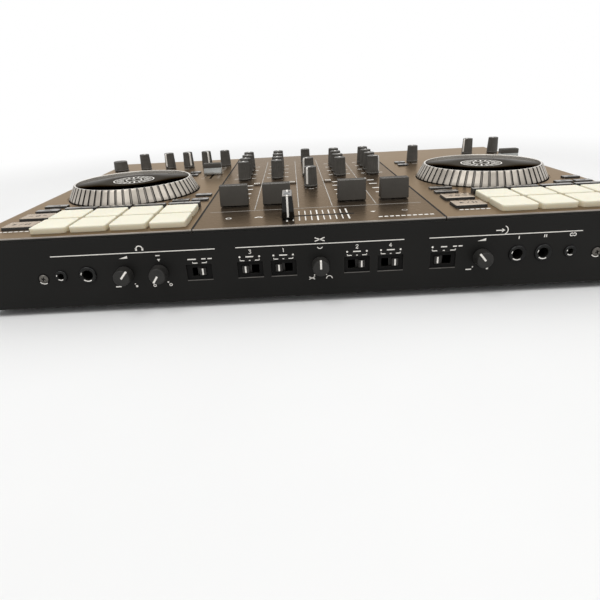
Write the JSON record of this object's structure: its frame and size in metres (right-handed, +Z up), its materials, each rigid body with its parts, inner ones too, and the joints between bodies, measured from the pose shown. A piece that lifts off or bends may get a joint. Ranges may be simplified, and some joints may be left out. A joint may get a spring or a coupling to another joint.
{
  "type": "dj controller",
  "caption": "Flat DJ controller with ribbed jog wheels, pale performance pads, sliding faders, fluted knobs, front slide switches and audio sockets",
  "frame": {"origin": "on the table under the middle of the overall box", "axes": "+X to the player's right, +Y from the player to the rear sockets, +Z up"},
  "size_m": [0.426, 0.3226, 0.067],
  "materials": {
    "black_casing": "satin black paint",
    "dark_panel": "brushed dark satin",
    "pale_silicone": "translucent satin",
    "gloss_button": "gloss",
    "jog_plastic": "satin with a gloss disc",
    "fader_plastic": "satin",
    "knob_plastic": "soft matte",
    "circuit_board": "solder mask"
  },
  "bodies": {
    "casing": {"chassis_tray": "black_casing", "front_panel": "black_casing", "rear_panel": "black_casing", "left_deck_panel": "dark_panel", "mixer_panel": "dark_panel", "right_deck_panel": "dark_panel", "main_board": "circuit_board", "left_pad_mat": "pale_silicone", "right_pad_mat": "pale_silicone"},
    "aux_input_switch": {"aux_input_switch": "knob_plastic"},
    "aux_level_knob": {"aux_level_knob": "knob_plastic"},
    "booth_level_knob": {"booth_level_knob": "knob_plastic"},
    "browse_knob": {"browse_knob": "knob_plastic"},
    "channel_1_assign_switch": {"channel_1_assign_switch": "knob_plastic"},
    "channel_1_fader_cap": {"channel_1_fader_cap": "fader_plastic"},
    "channel_1_gain_knob": {"channel_1_gain_knob": "knob_plastic"},
    "channel_1_high_knob": {"channel_1_high_knob": "knob_plastic"},
    "channel_1_low_knob": {"channel_1_low_knob": "knob_plastic"},
    "channel_1_mid_knob": {"channel_1_mid_knob": "knob_plastic"},
    "channel_2_assign_switch": {"channel_2_assign_switch": "knob_plastic"},
    "channel_2_fader_cap": {"channel_2_fader_cap": "fader_plastic"},
    "channel_2_gain_knob": {"channel_2_gain_knob": "knob_plastic"},
    "channel_2_high_knob": {"channel_2_high_knob": "knob_plastic"},
    "channel_2_low_knob": {"channel_2_low_knob": "knob_plastic"},
    "channel_2_mid_knob": {"channel_2_mid_knob": "knob_plastic"},
    "channel_3_assign_switch": {"channel_3_assign_switch": "knob_plastic"},
    "channel_3_fader_cap": {"channel_3_fader_cap": "fader_plastic"},
    "channel_3_gain_knob": {"channel_3_gain_knob": "knob_plastic"},
    "channel_3_high_knob": {"channel_3_high_knob": "knob_plastic"},
    "channel_3_low_knob": {"channel_3_low_knob": "knob_plastic"},
    "channel_3_mid_knob": {"channel_3_mid_knob": "knob_plastic"},
    "channel_4_assign_switch": {"channel_4_assign_switch": "knob_plastic"},
    "channel_4_fader_cap": {"channel_4_fader_cap": "fader_plastic"},
    "channel_4_gain_knob": {"channel_4_gain_knob": "knob_plastic"},
    "channel_4_high_knob": {"channel_4_high_knob": "knob_plastic"},
    "channel_4_low_knob": {"channel_4_low_knob": "knob_plastic"},
    "channel_4_mid_knob": {"channel_4_mid_knob": "knob_plastic"},
    "crossfader_cap": {"crossfader_cap": "fader_plastic"},
    "crossfader_curve_knob": {"crossfader_curve_knob": "knob_plastic"},
    "headphone_level_knob": {"headphone_level_knob": "knob_plastic"},
    "headphone_mix_knob": {"headphone_mix_knob": "knob_plastic"},
    "headphone_split_switch": {"headphone_split_switch": "knob_plastic"},
    "left_cue_button": {"left_cue_button": "gloss_button"},
    "left_effect_dial": {"left_effect_dial": "knob_plastic"},
    "left_effect_knob_1": {"left_effect_knob_1": "knob_plastic"},
    "left_effect_knob_2": {"left_effect_knob_2": "knob_plastic"},
    "left_effect_knob_3": {"left_effect_knob_3": "knob_plastic"},
    "left_effect_knob_4": {"left_effect_knob_4": "knob_plastic"},
    "left_effect_knob_5": {"left_effect_knob_5": "knob_plastic"},
    "left_jog_wheel": {"left_jog_wheel": "jog_plastic"},
    "left_play_button": {"left_play_button": "gloss_button"},
    "left_tempo_cap": {"left_tempo_cap": "fader_plastic"},
    "master_level_knob": {"master_level_knob": "knob_plastic"},
    "right_cue_button": {"right_cue_button": "gloss_button"},
    "right_effect_knob_1": {"right_effect_knob_1": "knob_plastic"},
    "right_effect_knob_2": {"right_effect_knob_2": "knob_plastic"},
    "right_effect_knob_3": {"right_effect_knob_3": "knob_plastic"},
    "right_jog_wheel": {"right_jog_wheel": "jog_plastic"},
    "right_play_button": {"right_play_button": "gloss_button"},
    "right_tempo_cap": {"right_tempo_cap": "fader_plastic"}
  },
  "joints": [
    {"name": "aux_input_switch_slide", "type": "slide", "parent": "casing", "child": "aux_input_switch", "axis": [1, 0, 0], "range_m": [0, 0.006]},
    {"name": "aux_level_knob_turn", "type": "hinge", "parent": "casing", "child": "aux_level_knob", "pos_m": [0.0994, -0.15345, 0.025], "axis": [0, -1, 0], "range_deg": [-190, 110]},
    {"name": "booth_level_knob_turn", "type": "hinge", "parent": "casing", "child": "booth_level_knob", "pos_m": [0, 0.01655, 0.051], "axis": [0, 0, 1], "range_deg": [-280, 20]},
    {"name": "browse_knob_turn", "type": "hinge", "parent": "casing", "child": "browse_knob", "pos_m": [0, 0.10355, 0.051], "axis": [0, 0, 1], "continuous": true},
    {"name": "channel_1_assign_switch_slide", "type": "slide", "parent": "casing", "child": "channel_1_assign_switch", "axis": [1, 0, 0], "range_m": [0, 0.006]},
    {"name": "channel_1_fader_slide", "type": "slide", "parent": "casing", "child": "channel_1_fader_cap", "axis": [0, 1, 0], "range_m": [0, 0.045]},
    {"name": "channel_1_gain_knob_turn", "type": "hinge", "parent": "casing", "child": "channel_1_gain_knob", "pos_m": [-0.0283, 0.07705, 0.051], "axis": [0, 0, 1], "range_deg": [-150, 150]},
    {"name": "channel_1_high_knob_turn", "type": "hinge", "parent": "casing", "child": "channel_1_high_knob", "pos_m": [-0.0283, 0.05455, 0.051], "axis": [0, 0, 1], "range_deg": [-150, 150]},
    {"name": "channel_1_low_knob_turn", "type": "hinge", "parent": "casing", "child": "channel_1_low_knob", "pos_m": [-0.0283, 0.00955, 0.051], "axis": [0, 0, 1], "range_deg": [-150, 150]},
    {"name": "channel_1_mid_knob_turn", "type": "hinge", "parent": "casing", "child": "channel_1_mid_knob", "pos_m": [-0.0283, 0.03205, 0.051], "axis": [0, 0, 1], "range_deg": [-150, 150]},
    {"name": "channel_2_assign_switch_slide", "type": "slide", "parent": "casing", "child": "channel_2_assign_switch", "axis": [1, 0, 0], "range_m": [-0.006, 0]},
    {"name": "channel_2_fader_slide", "type": "slide", "parent": "casing", "child": "channel_2_fader_cap", "axis": [0, 1, 0], "range_m": [0, 0.045]},
    {"name": "channel_2_gain_knob_turn", "type": "hinge", "parent": "casing", "child": "channel_2_gain_knob", "pos_m": [0.0283, 0.07705, 0.051], "axis": [0, 0, 1], "range_deg": [-150, 150]},
    {"name": "channel_2_high_knob_turn", "type": "hinge", "parent": "casing", "child": "channel_2_high_knob", "pos_m": [0.0283, 0.05455, 0.051], "axis": [0, 0, 1], "range_deg": [-150, 150]},
    {"name": "channel_2_low_knob_turn", "type": "hinge", "parent": "casing", "child": "channel_2_low_knob", "pos_m": [0.0283, 0.00955, 0.051], "axis": [0, 0, 1], "range_deg": [-150, 150]},
    {"name": "channel_2_mid_knob_turn", "type": "hinge", "parent": "casing", "child": "channel_2_mid_knob", "pos_m": [0.0283, 0.03205, 0.051], "axis": [0, 0, 1], "range_deg": [-90, 210]},
    {"name": "channel_3_assign_switch_slide", "type": "slide", "parent": "casing", "child": "channel_3_assign_switch", "axis": [1, 0, 0], "range_m": [0, 0.006]},
    {"name": "channel_3_fader_slide", "type": "slide", "parent": "casing", "child": "channel_3_fader_cap", "axis": [0, 1, 0], "range_m": [0, 0.045]},
    {"name": "channel_3_gain_knob_turn", "type": "hinge", "parent": "casing", "child": "channel_3_gain_knob", "pos_m": [-0.0581, 0.07705, 0.051], "axis": [0, 0, 1], "range_deg": [-150, 150]},
    {"name": "channel_3_high_knob_turn", "type": "hinge", "parent": "casing", "child": "channel_3_high_knob", "pos_m": [-0.0581, 0.05455, 0.051], "axis": [0, 0, 1], "range_deg": [-150, 150]},
    {"name": "channel_3_low_knob_turn", "type": "hinge", "parent": "casing", "child": "channel_3_low_knob", "pos_m": [-0.0581, 0.00955, 0.051], "axis": [0, 0, 1], "range_deg": [-150, 150]},
    {"name": "channel_3_mid_knob_turn", "type": "hinge", "parent": "casing", "child": "channel_3_mid_knob", "pos_m": [-0.0581, 0.03205, 0.051], "axis": [0, 0, 1], "range_deg": [-150, 150]},
    {"name": "channel_4_assign_switch_slide", "type": "slide", "parent": "casing", "child": "channel_4_assign_switch", "axis": [1, 0, 0], "range_m": [-0.006, 0]},
    {"name": "channel_4_fader_slide", "type": "slide", "parent": "casing", "child": "channel_4_fader_cap", "axis": [0, 1, 0], "range_m": [0, 0.045]},
    {"name": "channel_4_gain_knob_turn", "type": "hinge", "parent": "casing", "child": "channel_4_gain_knob", "pos_m": [0.0581, 0.07705, 0.051], "axis": [0, 0, 1], "range_deg": [-150, 150]},
    {"name": "channel_4_high_knob_turn", "type": "hinge", "parent": "casing", "child": "channel_4_high_knob", "pos_m": [0.0581, 0.05455, 0.051], "axis": [0, 0, 1], "range_deg": [-150, 150]},
    {"name": "channel_4_low_knob_turn", "type": "hinge", "parent": "casing", "child": "channel_4_low_knob", "pos_m": [0.0581, 0.00955, 0.051], "axis": [0, 0, 1], "range_deg": [-33, 267]},
    {"name": "channel_4_mid_knob_turn", "type": "hinge", "parent": "casing", "child": "channel_4_mid_knob", "pos_m": [0.0581, 0.03205, 0.051], "axis": [0, 0, 1], "range_deg": [-150, 150]},
    {"name": "crossfader_slide", "type": "slide", "parent": "casing", "child": "crossfader_cap", "axis": [1, 0, 0], "range_m": [0, 0.037]},
    {"name": "crossfader_curve_knob_turn", "type": "hinge", "parent": "casing", "child": "crossfader_curve_knob", "pos_m": [0, -0.15345, 0.025], "axis": [0, -1, 0], "range_deg": [-150, 150]},
    {"name": "headphone_level_knob_turn", "type": "hinge", "parent": "casing", "child": "headphone_level_knob", "pos_m": [-0.1207, -0.15345, 0.025], "axis": [0, -1, 0], "range_deg": [-110, 190]},
    {"name": "headphone_mix_knob_turn", "type": "hinge", "parent": "casing", "child": "headphone_mix_knob", "pos_m": [-0.0992, -0.15345, 0.025], "axis": [0, -1, 0], "range_deg": [-295, 5]},
    {"name": "headphone_split_switch_slide", "type": "slide", "parent": "casing", "child": "headphone_split_switch", "axis": [1, 0, 0], "range_m": [-0.004, 0]},
    {"name": "left_cue_button_press", "type": "slide", "parent": "casing", "child": "left_cue_button", "axis": [0, 0, 1], "range_m": [-0.0012, 0], "stiffness_N_per_m": 300},
    {"name": "left_effect_dial_turn", "type": "hinge", "parent": "casing", "child": "left_effect_dial", "pos_m": [-0.2, 0.10435, 0.051], "axis": [0, 0, 1], "continuous": true},
    {"name": "left_effect_knob_1_turn", "type": "hinge", "parent": "casing", "child": "left_effect_knob_1", "pos_m": [-0.173, 0.10435, 0.051], "axis": [0, 0, 1], "range_deg": [-150, 150]},
    {"name": "left_effect_knob_2_turn", "type": "hinge", "parent": "casing", "child": "left_effect_knob_2", "pos_m": [-0.1465, 0.10435, 0.051], "axis": [0, 0, 1], "range_deg": [-300, 0]},
    {"name": "left_effect_knob_3_turn", "type": "hinge", "parent": "casing", "child": "left_effect_knob_3", "pos_m": [-0.1265, 0.10435, 0.051], "axis": [0, 0, 1], "range_deg": [-5, 295]},
    {"name": "left_effect_knob_4_turn", "type": "hinge", "parent": "casing", "child": "left_effect_knob_4", "pos_m": [-0.1065, 0.10435, 0.051], "axis": [0, 0, 1], "range_deg": [0, 300]},
    {"name": "left_effect_knob_5_turn", "type": "hinge", "parent": "casing", "child": "left_effect_knob_5", "pos_m": [-0.0865, 0.10435, 0.051], "axis": [0, 0, 1], "range_deg": [-150, 150]},
    {"name": "left_jog_wheel_turn", "type": "hinge", "parent": "casing", "child": "left_jog_wheel", "pos_m": [-0.1464, -0.02565, 0.051], "axis": [0, 0, 1], "continuous": true},
    {"name": "left_play_button_press", "type": "slide", "parent": "casing", "child": "left_play_button", "axis": [0, 0, 1], "range_m": [-0.0012, 0], "stiffness_N_per_m": 300},
    {"name": "left_tempo_slide", "type": "slide", "parent": "casing", "child": "left_tempo_cap", "axis": [0, 1, 0], "range_m": [-0.022, 0.038]},
    {"name": "master_level_knob_turn", "type": "hinge", "parent": "casing", "child": "master_level_knob", "pos_m": [0, -0.03645, 0.051], "axis": [0, 0, 1], "range_deg": [-297, 3]},
    {"name": "right_cue_button_press", "type": "slide", "parent": "casing", "child": "right_cue_button", "axis": [0, 0, 1], "range_m": [-0.0012, 0], "stiffness_N_per_m": 300},
    {"name": "right_effect_knob_1_turn", "type": "hinge", "parent": "casing", "child": "right_effect_knob_1", "pos_m": [0.1075, 0.06735, 0.051], "axis": [0, 0, 1], "range_deg": [-150, 150]},
    {"name": "right_effect_knob_2_turn", "type": "hinge", "parent": "casing", "child": "right_effect_knob_2", "pos_m": [0.176, 0.10435, 0.051], "axis": [0, 0, 1], "range_deg": [-268, 32]},
    {"name": "right_effect_knob_3_turn", "type": "hinge", "parent": "casing", "child": "right_effect_knob_3", "pos_m": [0.2035, 0.10435, 0.051], "axis": [0, 0, 1], "range_deg": [-150, 150]},
    {"name": "right_jog_wheel_turn", "type": "hinge", "parent": "casing", "child": "right_jog_wheel", "pos_m": [0.1426, -0.02565, 0.051], "axis": [0, 0, 1], "continuous": true},
    {"name": "right_play_button_press", "type": "slide", "parent": "casing", "child": "right_play_button", "axis": [0, 0, 1], "range_m": [-0.0012, 0], "stiffness_N_per_m": 300},
    {"name": "right_tempo_slide", "type": "slide", "parent": "casing", "child": "right_tempo_cap", "axis": [0, 1, 0], "range_m": [-0.022, 0.038]}
  ]
}
